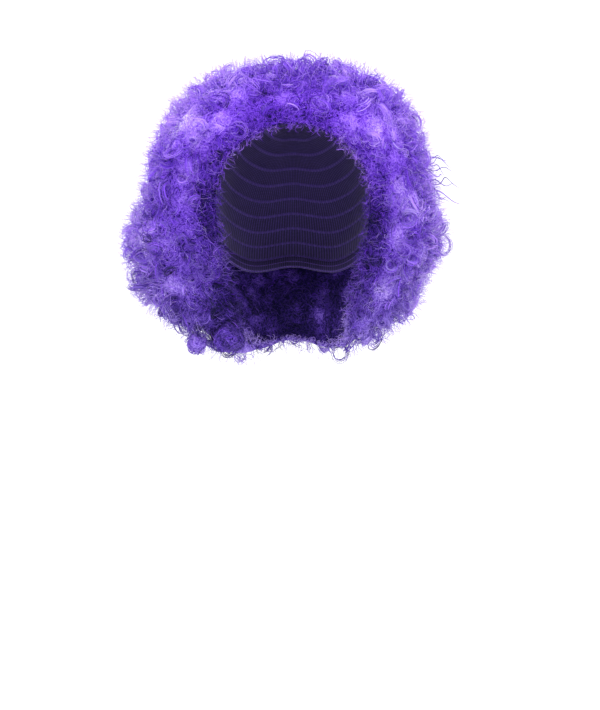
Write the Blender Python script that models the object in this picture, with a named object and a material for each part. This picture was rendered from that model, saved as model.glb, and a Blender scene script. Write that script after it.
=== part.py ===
"""Afro wig: a stretch cap with an edge band, and five sections of curly hair sewn round it.

Metres, +Z up. The face looks along -Y and the wearer's left side is +X. The origin is the
point inside the top of the cap where the crown of the head sits.

Every surface is a radius measured from the middle of the head. A direction is given by its
azimuth, 0 at the face and 180 at the nape, and its polar angle, 0 straight up.
"""

import math

import bmesh
import bpy
from mathutils import Vector

# Head that the cap is knitted for, measured from the middle of the head
HEAD_HALF_WIDTH = 0.0745
HEAD_FRONT_REACH = 0.094
HEAD_BACK_REACH = 0.097
HEAD_CROWN_HEIGHT = 0.099

# Cap and edge band
CAP_WALL = 0.0015
BAND_WIDTH = 0.012
BAND_THICKNESS = 0.0008
SEAT_GAP = 0.0003

# Depth of hair over the cap, to the tips of the locks, level with the middle of the head
HAIR_DEPTH_TOP = 0.025
HAIR_DEPTH_FRONT = 0.043
HAIR_DEPTH_LEFT = 0.050
HAIR_DEPTH_RIGHT = 0.056
HAIR_DEPTH_BACK = 0.052

# Locks: room that each has, and how far it stands out of the hair
LOCK_SPACING = 0.039
LOCK_STAND = 0.014
# Thickness of the hair at its very edge
EDGE_THICKNESS = 0.003
# Width of the rounded roll that ends the hair round the face and neck
ROLL_WIDTH = 0.019

# Power that shapes the head and the hair, seen from above and the front: 2 is an ellipse
HEAD_FORM_POWER = 2.25
HAIR_FORM_POWER = 2.4

# Below the middle of the head each reach is this share of its reach at the middle
LOWER_FORM = (
    # polar, head_side, head_front, head_back, hair_left, hair_right, hair_front, hair_back
    (90, 1.00, 1.00, 1.00, 1.00, 1.00, 1.00, 1.00),
    (100, 1.00, 1.00, 1.00, 1.05, 1.09, 0.99, 1.02),
    (110, 1.01, 1.02, 1.00, 1.08, 1.13, 0.98, 1.04),
    (120, 1.05, 1.04, 0.98, 1.05, 1.14, 0.97, 1.04),
    (130, 1.11, 1.07, 0.95, 1.10, 1.12, 0.97, 1.02),
    (140, 1.20, 1.11, 0.97, 1.10, 1.09, 0.98, 0.99),
    (150, 1.33, 1.17, 1.06, 1.11, 1.10, 1.00, 0.97),
    (160, 1.58, 1.30, 1.27, 1.09, 1.13, 1.03, 1.00),
)
LOWER_COLUMNS = (
    "polar", "head_side", "head_front", "head_back",
    "hair_left", "hair_right", "hair_front", "hair_back",
)

# Edge of the hair round the face and neck, from the hairline to the nape, on either side
HAIR_EDGE = (
    # azimuth, polar
    (0, 52),      # hairline over the forehead
    (22, 58),     # side of the forehead
    (37, 68),     # corner of the forehead
    (44, 80),     # temple
    (45, 101),    # cheekbone
    (46, 122),    # cheek
    (48, 141),    # jaw
    (64, 154),    # under the jaw
    (103, 159),   # side of the neck
    (144, 159),   # back of the neck
    (180, 158),   # nape
)

# Edge of the cap, inside the edge of the hair
CAP_EDGE = (
    # azimuth, polar
    (0, 48),      # forehead
    (30, 55),     # corner of the forehead
    (48, 74),     # temple
    (60, 103),    # ear tab
    (78, 98),     # front of the ear
    (92, 93),     # over the ear
    (112, 112),   # behind the ear
    (146, 129),   # corner of the nape
    (180, 126),   # nape
)

# Sections of hair, by the columns of the grid that go round the crown
COLUMNS = 40
COLUMN_STEP = 2 * math.pi / COLUMNS
CROWN_SHARE = 0.42
SECTIONS = (
    # name, first_column, last_column
    ("front_hair", -6, 6),
    ("left_side_hair", 6, 14),
    ("nape_hair", 14, 26),
    ("right_side_hair", 26, 34),
)
SECTION_ROWS = 8
CROWN_ROWS = 6
CAP_ROWS = 9
ARC_SAMPLES = 30
SMALL_STEP = 0.01

# One lock rises out of the hair and curls over. Widths are shares of half its room
LOCK_POINTS = 6
LOCK_SIDES = 5
LOCK_ARC = (math.radians(-45), math.radians(155))
LOCK_REACH_SHARE = 0.62
LOCK_WIDTH_SHARES = (0.74, 0.30)
LOCK_THICKNESS_SHARES = (0.34, 0.13)
LOCK_HEADING_STEP = math.radians(137.5)

HAIR_COLOUR = (0.165, 0.050, 0.560, 1.0)
CAP_COLOUR = (0.030, 0.014, 0.070, 1.0)
BAND_COLOUR = (0.018, 0.012, 0.040, 1.0)


def lower_share(column, polar):
    """The share in a column of LOWER_FORM at a polar angle, joined by a smooth curve."""
    index = LOWER_COLUMNS.index(column)
    rows = LOWER_FORM
    if polar <= rows[0][0]:
        return rows[0][index]
    step = rows[1][0] - rows[0][0]
    place = min((polar - rows[0][0]) / step, len(rows) - 1)
    low = min(int(place), len(rows) - 2)
    t = place - low
    before, first, second, after = (
        rows[min(max(low + offset, 0), len(rows) - 1)][index] for offset in (-1, 0, 1, 2)
    )
    return first + 0.5 * t * (
        second - before
        + t * (2 * before - 5 * first + 4 * second - after
               + t * (3 * (first - second) + after - before))
    )


def blended(front_back, side, top, direction, power):
    """Radius of a rounded box-like form with these half axes, in a direction."""
    terms = (
        abs(direction.x) / side,
        abs(direction.y) / front_back,
        abs(direction.z) / top,
    )
    return sum(term ** power for term in terms) ** (-1 / power)


def form_radius(reaches, columns, direction, power):
    """Radius of the head or of the hair. reaches are left, right, front, back and top."""
    left, right, front, back, top = reaches
    side = left if direction.x > 0 else right
    depth = back if direction.y > 0 else front
    if direction.z >= 0:
        return blended(depth, side, top, direction, power)
    side_column = columns[0] if direction.x > 0 else columns[1]
    depth_column = columns[2] if direction.y < 0 else columns[3]
    polar = math.degrees(math.acos(max(direction.z, -1.0)))
    across = math.hypot(direction.x, direction.y)
    flat = Vector((direction.x / across, direction.y / across, 0))
    side *= lower_share(side_column, polar)
    depth *= lower_share(depth_column, polar)
    return blended(depth, side, top, flat, power)


def head_radius(direction):
    reaches = (HEAD_HALF_WIDTH, HEAD_HALF_WIDTH, HEAD_FRONT_REACH, HEAD_BACK_REACH, HEAD_CROWN_HEIGHT)
    columns = ("head_side", "head_side", "head_front", "head_back")
    return form_radius(reaches, columns, direction, HEAD_FORM_POWER)


def hair_tip_radius(direction):
    """Radius to the tips of the locks."""
    base = BAND_THICKNESS + CAP_WALL + 2 * SEAT_GAP
    reaches = (
        HEAD_HALF_WIDTH + base + HAIR_DEPTH_LEFT,
        HEAD_HALF_WIDTH + base + HAIR_DEPTH_RIGHT,
        HEAD_FRONT_REACH + base + HAIR_DEPTH_FRONT,
        HEAD_BACK_REACH + base + HAIR_DEPTH_BACK,
        HEAD_CROWN_HEIGHT + base + HAIR_DEPTH_TOP,
    )
    columns = ("hair_left", "hair_right", "hair_front", "hair_back")
    return form_radius(reaches, columns, direction, HAIR_FORM_POWER)


def from_angles(azimuth, polar):
    """Unit direction of an azimuth, from the face towards the wearer's left, and a polar angle."""
    azimuth, polar = math.radians(azimuth), math.radians(polar)
    return Vector((
        math.sin(azimuth) * math.sin(polar),
        -math.cos(azimuth) * math.sin(polar),
        math.cos(polar),
    ))


class Dome:
    """Directions spread from a pole at the back of the head to an edge round the face.

    turn goes round the pole, 0 towards the forehead and a quarter turn towards the
    wearer's left. share goes from 0 at the pole to 1 at the edge.
    """

    def __init__(self, edge_table):
        self.pole = from_angles(180, (edge_table[-1][1] - edge_table[0][1]) / 2)
        self.left = Vector((1, 0, 0))
        self.ahead = self.left.cross(self.pole)
        self.edge = [self.turn_and_spread(from_angles(*row)) for row in edge_table]

    def turn_and_spread(self, direction):
        turn = math.atan2(direction.dot(self.left), direction.dot(self.ahead))
        return abs(turn), direction.angle(self.pole)

    def edge_spread(self, turn):
        """Angle from the pole to the edge, by a smooth curve through the table's points."""
        turn = abs((turn + math.pi) % (2 * math.pi) - math.pi)
        points = self.edge
        low = max(i for i in range(len(points) - 1) if points[i][0] <= turn + 1e-9)
        first, second = points[low], points[low + 1]
        mirrored_first = (-points[1][0], points[1][1])
        mirrored_last = (2 * math.pi - points[-2][0], points[-2][1])
        before = points[low - 1] if low > 0 else mirrored_first
        after = points[low + 2] if low + 2 < len(points) else mirrored_last
        width = second[0] - first[0]
        t = (turn - first[0]) / width
        slope_first = (second[1] - before[1]) / (second[0] - before[0]) * width
        slope_second = (after[1] - first[1]) / (after[0] - first[0]) * width
        return (
            (2 * t ** 3 - 3 * t ** 2 + 1) * first[1]
            + (t ** 3 - 2 * t ** 2 + t) * slope_first
            + (3 * t ** 2 - 2 * t ** 3) * second[1]
            + (t ** 3 - t ** 2) * slope_second
        )

    def direction(self, turn, share):
        spread = share * self.edge_spread(turn)
        across = self.ahead * math.cos(turn) + self.left * math.sin(turn)
        return self.pole * math.cos(spread) + across * math.sin(spread)


CAP_INNER_LIFT = BAND_THICKNESS + SEAT_GAP
CENTRE = Vector((0, 0, -(HEAD_CROWN_HEIGHT + CAP_INNER_LIFT)))
HAIR_DOME = Dome(HAIR_EDGE)
CAP_DOME = Dome(CAP_EDGE)


def flat_depth(radius):
    """How far the middle of a flat facet can lie inside the round surface that it spans."""
    return 3 * radius * (1 - math.cos(COLUMN_STEP / 2))


def hair_inner_radius(direction):
    """The hair lies on the cap, with room for its own facets."""
    on_cap = head_radius(direction) + CAP_INNER_LIFT + CAP_WALL
    return on_cap + SEAT_GAP + flat_depth(on_cap)


def hair_outer_radius(turn, share):
    """The hair that the locks grow from, rolled down to its edge round the face and neck."""
    direction = HAIR_DOME.direction(turn, share)
    inner = hair_inner_radius(direction)
    full = max(hair_tip_radius(direction) - LOCK_STAND - inner, EDGE_THICKNESS)
    to_edge = (1 - share) * HAIR_DOME.edge_spread(turn) * inner
    rolled = min(to_edge / ROLL_WIDTH, 1.0)
    return inner + EDGE_THICKNESS + (full - EDGE_THICKNESS) * math.sqrt(1 - (1 - rolled) ** 2)


def material(name, colour, roughness):
    made = bpy.data.materials.new(name)
    made.use_nodes = True
    shader = made.node_tree.nodes["Principled BSDF"]
    shader.inputs["Base Color"].default_value = colour
    shader.inputs["Roughness"].default_value = roughness
    shader.inputs["Metallic"].default_value = 0.0
    made.diffuse_color = colour
    return made


def finished_object(name, mesh_data, collection, finish):
    mesh = bpy.data.meshes.new(name)
    mesh_data.to_mesh(mesh)
    mesh_data.free()
    mesh.materials.append(finish)
    obj = bpy.data.objects.new(name, mesh)
    collection.objects.link(obj)
    return obj


def open_dome(columns, rows):
    """A sphere without its lowest ring, its vertices moved to (turn, share, 0)."""
    bm = bmesh.new()
    bmesh.ops.create_uvsphere(bm, u_segments=columns, v_segments=rows + 1, radius=1)
    lowest = min(bm.verts, key=lambda vert: vert.co.z)
    bmesh.ops.delete(bm, geom=[lowest], context="VERTS")
    for vert in bm.verts:
        x, y, z = vert.co
        spread = math.acos(max(-1.0, min(1.0, z)))
        vert.co = (math.atan2(x, y), spread / math.pi * (rows + 1) / rows, 0)
    return bm


def thick_form(bm, place_inside, place_outside):
    """Closes a surface of (turn, share, 0) vertices into a solid between two surfaces."""
    made = bmesh.ops.extrude_face_region(bm, geom=bm.faces[:])["geom"]
    raised = {item for item in made if isinstance(item, bmesh.types.BMVert)}
    for vert in bm.verts:
        place = place_outside if vert in raised else place_inside
        vert.co = place(vert.co.x, vert.co.y)
    bmesh.ops.recalc_face_normals(bm, faces=bm.faces[:])


def band_share(turn):
    """Share at which the edge band starts."""
    reach = CAP_DOME.edge_spread(turn) * head_radius(CAP_DOME.direction(turn, 1))
    return 1 - BAND_WIDTH / reach


def cap_point(lift):
    """Places a point of the cap this far out from the head."""
    def place(turn, share):
        direction = CAP_DOME.direction(turn, share)
        return CENTRE + direction * (head_radius(direction) + lift)
    return place


def make_cap(collection, finish):
    """The knitted cap: one wall of even thickness, open round the face, ears and nape."""
    bm = open_dome(COLUMNS, CAP_ROWS)
    above_band = (CAP_ROWS - 1) / CAP_ROWS
    for vert in bm.verts:
        turn, share = vert.co.x, vert.co.y
        if share < above_band + 0.5 / CAP_ROWS:
            vert.co.y = share / above_band * band_share(turn)
    thick_form(bm, cap_point(CAP_INNER_LIFT), cap_point(CAP_INNER_LIFT + CAP_WALL))
    return finished_object("wig_cap", bm, collection, finish)


def make_edge_band(collection, finish):
    """The elastic band inside the edge of the cap: an even strip that goes all the way round."""
    bm = bmesh.new()
    bmesh.ops.create_cone(
        bm, cap_ends=False, segments=COLUMNS, radius1=1, radius2=1, depth=1)
    for vert in bm.verts:
        turn = math.atan2(vert.co.x, vert.co.y)
        vert.co = (turn, band_share(turn) if vert.co.z > 0 else 1, 0)
    thick_form(bm, cap_point(0), cap_point(BAND_THICKNESS))
    return finished_object("edge_band", bm, collection, finish)


def outer_point(turn, share):
    return CENTRE + HAIR_DOME.direction(turn, share) * hair_outer_radius(turn, share)


def inner_point(turn, share):
    direction = HAIR_DOME.direction(turn, share)
    return CENTRE + direction * hair_inner_radius(direction)


def even_rows(turn, fractions):
    """Shares at these fractions of the way over the hair from the crown's edge to its own."""
    shares = [CROWN_SHARE + (1 - CROWN_SHARE) * i / ARC_SAMPLES for i in range(ARC_SAMPLES + 1)]
    points = [outer_point(turn, share) for share in shares]
    lengths = [0.0]
    for first, second in zip(points, points[1:]):
        lengths.append(lengths[-1] + (second - first).length)
    found = []
    for fraction in fractions:
        aim = fraction * lengths[-1]
        low = max(i for i in range(ARC_SAMPLES) if lengths[i] <= aim + 1e-12)
        t = (aim - lengths[low]) / (lengths[low + 1] - lengths[low])
        found.append(shares[low] + (shares[low + 1] - shares[low]) * t)
    return found, lengths[-1]


def gap_shares(turn, share):
    """Half the gap between two sections, as a turn and as a share."""
    direction = HAIR_DOME.direction(turn, share)
    radius = hair_inner_radius(direction)
    spread = HAIR_DOME.edge_spread(turn)
    return SEAT_GAP / 2 / (radius * math.sin(share * spread)), SEAT_GAP / 2 / (radius * spread)


def section_bed(first_column, last_column):
    """The hair of one section round the face or neck, cut on the grid's own columns."""
    bm = bmesh.new()
    columns = last_column - first_column
    bmesh.ops.create_grid(bm, x_segments=columns, y_segments=SECTION_ROWS, size=1)
    for vert in bm.verts:
        across, down = (vert.co.x + 1) / 2, (vert.co.y + 1) / 2
        turn = (first_column + across * columns) * COLUMN_STEP
        (share,), _ = even_rows(turn, [down])
        turn_gap, share_gap = gap_shares(turn, share)
        if across < 1e-6:
            turn += turn_gap
        elif across > 1 - 1e-6:
            turn -= turn_gap
        if down < 1e-6:
            share += share_gap
        vert.co = (turn, share, 0)
    thick_form(bm, inner_point, outer_point)
    return bm


def crown_bed():
    """The round section of hair over the crown, inside the other four."""
    bm = open_dome(COLUMNS, CROWN_ROWS)
    for vert in bm.verts:
        turn, share = vert.co.x, vert.co.y * CROWN_SHARE
        if vert.co.y > 1 - 1e-6:
            share -= gap_shares(turn, share)[1]
        vert.co = (turn, share, 0)
    thick_form(bm, inner_point, outer_point)
    return bm


def surface_frame(turn, share):
    """Place on the hair, the way out of it, and the way along it towards its edge."""
    place = outer_point(turn, share)
    down = outer_point(turn, min(share + SMALL_STEP, 1.0)) - outer_point(turn, share - SMALL_STEP)
    if share > SMALL_STEP:
        across = outer_point(turn + SMALL_STEP, share) - outer_point(turn - SMALL_STEP, share)
    else:
        quarter = math.pi / 2
        across = outer_point(turn + quarter, SMALL_STEP) - outer_point(turn - quarter, SMALL_STEP)
    outward = across.cross(down).normalized()
    if outward.dot(place - CENTRE) < 0:
        outward.negate()
    return place, outward, down.normalized()


def between(ends, t):
    return ends[0] + (ends[1] - ends[0]) * t


def lock_mesh(turn, share, half_room, number):
    """One lock: a flat, tapered strand that comes up out of the hair and curls over."""
    place, outward, down = surface_frame(turn, share)
    heading = number * LOCK_HEADING_STEP
    along = down * math.cos(heading) + outward.cross(down) * math.sin(heading)
    across = outward.cross(along)
    reach = half_room * LOCK_REACH_SHARE
    bm = bmesh.new()
    rings = []
    for i in range(LOCK_POINTS):
        t = i / (LOCK_POINTS - 1)
        angle = between(LOCK_ARC, t)
        width = half_room * between(LOCK_WIDTH_SHARES, t)
        thickness = half_room * between(LOCK_THICKNESS_SHARES, t)
        rise = LOCK_STAND - thickness
        radial = outward * math.sin(angle) - along * math.cos(angle)
        centre = place + outward * (rise * math.sin(angle)) - along * (reach * math.cos(angle))
        ring = []
        for k in range(LOCK_SIDES):
            side = 2 * math.pi * (k + 0.25) / LOCK_SIDES
            ring.append(bm.verts.new(
                centre + across * (width * math.cos(side)) + radial * (thickness * math.sin(side))))
        rings.append(ring)
    for low, high in zip(rings, rings[1:]):
        for k in range(LOCK_SIDES):
            n = (k + 1) % LOCK_SIDES
            bm.faces.new((low[k], low[n], high[n], high[k]))
    bm.faces.new(rings[0])
    bm.faces.new(rings[-1])
    bmesh.ops.recalc_face_normals(bm, faces=bm.faces[:])
    return bm


def section_places(first_column, last_column):
    """Turn, share and half the room of each lock on a section round the face or neck."""
    middle = (first_column + last_column) / 2 * COLUMN_STEP
    _, length = even_rows(middle, [0.0])
    rows = round(length / LOCK_SPACING)
    places = []
    for row in range(rows):
        down = (row + 0.5) / rows
        (share,), _ = even_rows(middle, [down])
        radius = (outer_point(middle, share) - CENTRE).length
        around = radius * math.sin(share * HAIR_DOME.edge_spread(middle))
        width = (last_column - first_column) * COLUMN_STEP
        count = round(width * around / LOCK_SPACING)
        for i in range(count):
            turn = first_column * COLUMN_STEP + (i + 0.5) * width / count
            (share,), length = even_rows(turn, [down])
            radius = (outer_point(turn, share) - CENTRE).length
            around = radius * math.sin(share * HAIR_DOME.edge_spread(turn))
            places.append((turn, share, min(length / rows, width * around / count) / 2))
    return places


def crown_places():
    """Turn, share and half the room of each lock on the crown: one in the middle, rings round it."""
    radius = hair_outer_radius(0, 0)
    length = radius * HAIR_DOME.edge_spread(0) * CROWN_SHARE
    rings = round(length / LOCK_SPACING - 0.5)
    places = [(0.0, 0.0, length / (rings + 0.5) / 2)]
    for ring in range(1, rings + 1):
        share = CROWN_SHARE * ring / (rings + 0.5)
        around = radius * math.sin(share * HAIR_DOME.edge_spread(0)) * 2 * math.pi
        count = round(around / LOCK_SPACING)
        for i in range(count):
            turn = 2 * math.pi * (i + 0.5 * (ring % 2)) / count
            places.append((turn, share, min(length / (rings + 0.5), around / count) / 2))
    return places


def grow_locks(bed, places, helpers, finish):
    """Joins a lock at each place to the hair, so that the section is one solid."""
    locks = bpy.data.collections.new(bed.name + "_locks")
    helpers.children.link(locks)
    for number, (turn, share, half_room) in enumerate(places):
        mesh = lock_mesh(turn, share, half_room, number)
        lock = finished_object(f"{bed.name}_lock_{number}", mesh, locks, finish)
        lock.hide_render = True
        lock.display_type = "WIRE"
    join = bed.modifiers.new("locks", "BOOLEAN")
    join.operation = "UNION"
    join.operand_type = "COLLECTION"
    join.collection = locks
    join.solver = "EXACT"


def make_hair(collection, helpers, finish):
    """The five sections of hair, each with its own locks."""
    crown = finished_object("crown_hair", crown_bed(), collection, finish)
    grow_locks(crown, crown_places(), helpers, finish)
    for name, first_column, last_column in SECTIONS:
        bed = finished_object(name, section_bed(first_column, last_column), collection, finish)
        grow_locks(bed, section_places(first_column, last_column), helpers, finish)


def main():
    for obj in list(bpy.data.objects):
        bpy.data.objects.remove(obj)
    wig = bpy.data.collections.new("afro_wig")
    helpers = bpy.data.collections.new("lock_shapes")
    bpy.context.scene.collection.children.link(wig)
    bpy.context.scene.collection.children.link(helpers)
    make_cap(wig, material("stretch_cap", CAP_COLOUR, 0.85))
    make_edge_band(wig, material("elastic_band", BAND_COLOUR, 0.70))
    make_hair(wig, helpers, material("curly_hair", HAIR_COLOUR, 0.55))


main()
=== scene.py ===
import bpy
import numpy as np
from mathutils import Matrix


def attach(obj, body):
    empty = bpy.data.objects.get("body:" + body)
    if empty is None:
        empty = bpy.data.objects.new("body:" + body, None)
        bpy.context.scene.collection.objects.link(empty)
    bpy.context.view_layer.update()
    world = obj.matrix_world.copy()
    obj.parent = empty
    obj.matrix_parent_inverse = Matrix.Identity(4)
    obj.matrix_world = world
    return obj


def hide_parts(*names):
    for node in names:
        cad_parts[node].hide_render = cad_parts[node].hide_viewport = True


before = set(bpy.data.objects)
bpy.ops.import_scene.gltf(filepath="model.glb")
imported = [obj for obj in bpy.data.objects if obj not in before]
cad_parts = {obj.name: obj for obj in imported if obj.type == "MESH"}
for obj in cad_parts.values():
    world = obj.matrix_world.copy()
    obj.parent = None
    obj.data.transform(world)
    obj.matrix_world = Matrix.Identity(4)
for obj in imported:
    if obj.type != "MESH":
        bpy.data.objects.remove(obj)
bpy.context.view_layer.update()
print("frame loaded:", ", ".join(sorted(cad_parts)))

mm = 0.001
turnRound = 2 * np.pi

# Head and hair in metres: reaches from the middle of the head, and depths of hair over the cap
form = {
    "headSide": 0.0745, "headFront": 0.094, "headBack": 0.097, "headTop": 0.099, "headPower": 2.25,
    "hairLeft": 0.050, "hairRight": 0.056, "hairFront": 0.043, "hairBack": 0.052, "hairTop": 0.025,
    "hairPower": 2.4,
    "bandThickness": 0.8 * mm, "bandWidth": 12 * mm, "capWall": 1.5 * mm, "seatGap": 0.3 * mm,
    "columns": 40,          # columns of the frame's own grid
    "crownShare": 0.42,     # where the crown meets the other sections
    "edgeThickness": 3 * mm,
    "rollWidth": 19 * mm,   # rounded roll that ends the hair round the face and neck
    "facetRoom": 3,         # room for the cap's flat facets, in sags of one column
}

# Below the middle of the head each reach is this share of its reach at the middle
lowerNames = ("polar", "headSide", "headFront", "headBack", "hairLeft", "hairRight", "hairFront", "hairBack")
lowerForm = np.array([
    (90, 1.00, 1.00, 1.00, 1.00, 1.00, 1.00, 1.00),
    (100, 1.00, 1.00, 1.00, 1.05, 1.09, 0.99, 1.02),
    (110, 1.01, 1.02, 1.00, 1.08, 1.13, 0.98, 1.04),
    (120, 1.05, 1.04, 0.98, 1.05, 1.14, 0.97, 1.04),
    (130, 1.11, 1.07, 0.95, 1.10, 1.12, 0.97, 1.02),
    (140, 1.20, 1.11, 0.97, 1.10, 1.09, 0.98, 0.99),
    (150, 1.33, 1.17, 1.06, 1.11, 1.10, 1.00, 0.97),
    (160, 1.58, 1.30, 1.27, 1.09, 1.13, 1.03, 1.00),
])

# Azimuth and polar angle along the edge of the hair and of the cap, from the forehead to the nape
hairEdge = [(0, 52), (22, 58), (37, 68), (44, 80), (45, 101), (46, 122), (48, 141), (64, 154),
            (103, 159), (144, 159), (180, 158)]
capEdge = [(0, 48), (30, 55), (48, 74), (60, 103), (78, 98), (92, 93), (112, 112), (146, 129), (180, 126)]

capLift = form["bandThickness"] + form["seatGap"]
middle = np.array([0, 0, -(form["headTop"] + capLift)])


# Direction of an azimuth, 0 at the face and a quarter turn at +X, and a polar angle, 0 straight up
def fromAngles(azimuth, polar):
    across = np.sin(polar)
    return np.stack([np.sin(azimuth) * across, -np.cos(azimuth) * across, np.cos(polar)], -1)


def unit(vectors):
    return vectors / np.maximum(np.linalg.norm(vectors, axis=-1, keepdims=True), 1e-12)


def dot(a, b):
    return (a * b).sum(-1, keepdims=True)


# Even shares from 0 to 1 along both ways of a grid
def evenGrid(columns, rows):
    return np.meshgrid(np.linspace(0, 1, columns), np.linspace(0, 1, rows), indexing="ij")


# Catmull-Rom curve through the evenly spaced rows of lowerForm
def lowerShare(name, polar):
    values = lowerForm[:, lowerNames.index(name)]
    first, step, last = lowerForm[0, 0], lowerForm[1, 0] - lowerForm[0, 0], len(values) - 1
    place = np.clip((np.degrees(polar) - first) / step, 0, last)
    low = np.minimum(place.astype(int), last - 1)
    t = place - low
    before, p, q, after = (values[np.clip(low + k, 0, last)] for k in (-1, 0, 1, 2))
    square = 2 * before - 5 * p + 4 * q - after
    cube = 3 * (p - q) + after - before
    return p + t / 2 * (q - before + t * (square + t * cube))


# Rounded box: radius = (|x/side|^p + |y/depth|^p + |z/top|^p)^(-1/p). Below the middle the direction
# is laid flat and each reach takes its share at that polar angle
def formRadius(d, reaches, names, power):
    left, right, front, back, top = reaches
    x, y, z = d[..., 0], d[..., 1], d[..., 2]
    polar = np.arccos(np.clip(z, -1, 1))
    flat = np.where(z < 0, np.maximum(np.hypot(x, y), 1e-9), 1)
    side = np.where(x > 0, left * lowerShare(names[0], polar), right * lowerShare(names[1], polar))
    depth = np.where(y < 0, front * lowerShare(names[2], polar), back * lowerShare(names[3], polar))
    height = np.where(z < 0, 0, z / top)
    return (abs(x / flat / side) ** power + abs(y / flat / depth) ** power + height ** power) ** (-1 / power)


def headRadius(d):
    reaches = [form[n] for n in ("headSide", "headSide", "headFront", "headBack", "headTop")]
    return formRadius(d, reaches, ("headSide", "headSide", "headFront", "headBack"), form["headPower"])


# To the tips of the hair: the head, what lies on it, and the depth of hair on each side
def tipRadius(d):
    base = form["bandThickness"] + form["capWall"] + 2 * form["seatGap"]
    head = [form[n] for n in ("headSide", "headSide", "headFront", "headBack", "headTop")]
    hair = [form[n] for n in ("hairLeft", "hairRight", "hairFront", "hairBack", "hairTop")]
    reaches = [base + a + b for a, b in zip(head, hair)]
    return formRadius(d, reaches, ("hairLeft", "hairRight", "hairFront", "hairBack"), form["hairPower"])


# The inside of the hair, clear of the cap and of its flat facets
def innerRadius(d):
    onCap = headRadius(d) + capLift + form["capWall"]
    return onCap * (1 + form["facetRoom"] * (1 - np.cos(np.pi / form["columns"]))) + form["seatGap"]


# Directions spread from a pole at the back of the head to an edge: turn goes round the pole, 0 at
# the forehead, and share runs from the pole to the edge. The edge is a Hermite curve through its rows
class Dome:
    def __init__(self, edge):
        rows = np.radians(edge)
        self.pole = fromAngles(np.pi, (rows[-1, 1] - rows[0, 1]) / 2)
        self.left = np.array([1.0, 0, 0])
        self.ahead = np.cross(self.left, self.pole)
        d = fromAngles(rows[:, 0], rows[:, 1])
        self.x = abs(np.arctan2(d @ self.left, d @ self.ahead))
        self.y = np.arccos(np.clip(d @ self.pole, -1, 1))
        x = np.r_[-self.x[1], self.x, turnRound - self.x[-2]]
        y = np.r_[self.y[1], self.y, self.y[-2]]
        self.slope = (y[2:] - y[:-2]) / (x[2:] - x[:-2])

    def edgeSpread(self, turn):
        turn = abs((turn + np.pi) % turnRound - np.pi)
        i = np.clip(np.searchsorted(self.x, turn, "right") - 1, 0, len(self.x) - 2)
        wide = self.x[i + 1] - self.x[i]
        t = (turn - self.x[i]) / wide
        return ((2 * t ** 3 - 3 * t ** 2 + 1) * self.y[i] + (t ** 3 - 2 * t ** 2 + t) * self.slope[i] * wide
                + (3 * t ** 2 - 2 * t ** 3) * self.y[i + 1] + (t ** 3 - t ** 2) * self.slope[i + 1] * wide)

    def direction(self, turn, share):
        spread = (share * self.edgeSpread(turn))[..., None]
        turn = turn[..., None]
        around = self.ahead * np.cos(turn) + self.left * np.sin(turn)
        return self.pole * np.cos(spread) + around * np.sin(spread)


hairDome = Dome(hairEdge)
capDome = Dome(capEdge)

# The bed of hair that the curls stand on, and the soft tufts that it gathers into
bed = {
    "depth": 17.2 * mm,      # from the tips down to the bed between two tufts
    "tufts": 420,
    "tuftReach": 13 * mm,    # from the middle of a tuft to where it meets the next
    "tuftHeight": 5 * mm,
    "tuftTone": 0.07,
    "goldenTurn": 137.5,     # degrees from each tuft to the next, along their spiral
    "turnMoved": 0.12, "shareMoved": 0.02,       # how far they are moved from it
    "strength": (0.45, 1.0),
    "seed": 11,
    "columns": 5,            # fine columns to each column of the frame's grid, half as many in the crown
    "rows": 38,              # to a section
    "profile": 90,           # points that a column is measured by
}
rng = np.random.default_rng(bed["seed"])

# Where the hair is fuller or flatter: rows of azimuth, polar angle and reach in degrees, and millimetres
fullPlaces = [(-86, 112, 30, 4), (-86, 68, 20, -8), (-75, 28, 20, -3.5), (0, 0, 26, -3), (86, 72, 20, -9),
              (84, 97, 14, 1.5), (88, 120, 9, -5), (84, 134, 14, 3), (74, 44, 18, 0.5), (-80, 146, 16, -1.5),
              (60, 152, 18, -4), (0, 158, 40, 3)]


# Sum over places of more * exp(-(angle / reach)^2), by the angle between each direction and the place
def spreadOut(d, places):
    total = 0
    for azimuth, polar, reach, more in places:
        apart = np.arccos(np.clip(d @ fromAngles(*np.radians([azimuth, polar])), -1, 1))
        total = total + more * np.exp(-(apart / np.radians(reach)) ** 2)
    return total


# Radius of the smooth bed, rolled down to its edge by a quarter circle
def bedRadius(turn, share):
    d = hairDome.direction(turn, share)
    inner = innerRadius(d)
    thin = form["edgeThickness"]
    full = np.maximum(tipRadius(d) - bed["depth"] + spreadOut(d, fullPlaces) * mm - inner, thin)
    toEdge = (1 - share) * hairDome.edgeSpread(turn) * inner
    rolled = np.minimum(toEdge / form["rollWidth"], 1)
    return d, inner, inner + thin + (full - thin) * np.sqrt(np.maximum(1 - (1 - rolled) ** 2, 0)), toEdge


# Middles of the tufts: a spiral of golden turns over the dome, each moved a little
def tuftMiddles():
    i = np.arange(bed["tufts"])
    turn = i * np.radians(bed["goldenTurn"]) + rng.normal(0, bed["turnMoved"], i.size)
    widest = hairDome.edgeSpread(turn)
    spread = np.arccos(1 - (i + 0.5) / i.size * (1 - np.cos(widest)))
    share = np.clip(spread / widest + rng.normal(0, bed["shareMoved"], i.size), 0, 1)
    d, _, outer, _ = bedRadius(turn, share)
    return middle + d * outer[..., None], rng.uniform(*bed["strength"], i.size)


tufts, tuftStrength = tuftMiddles()
tuftTone = rng.normal(0, bed["tuftTone"], len(tufts))
tuftHand = rng.choice([-1, 1], len(tufts))      # which way the hair winds round each


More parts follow.
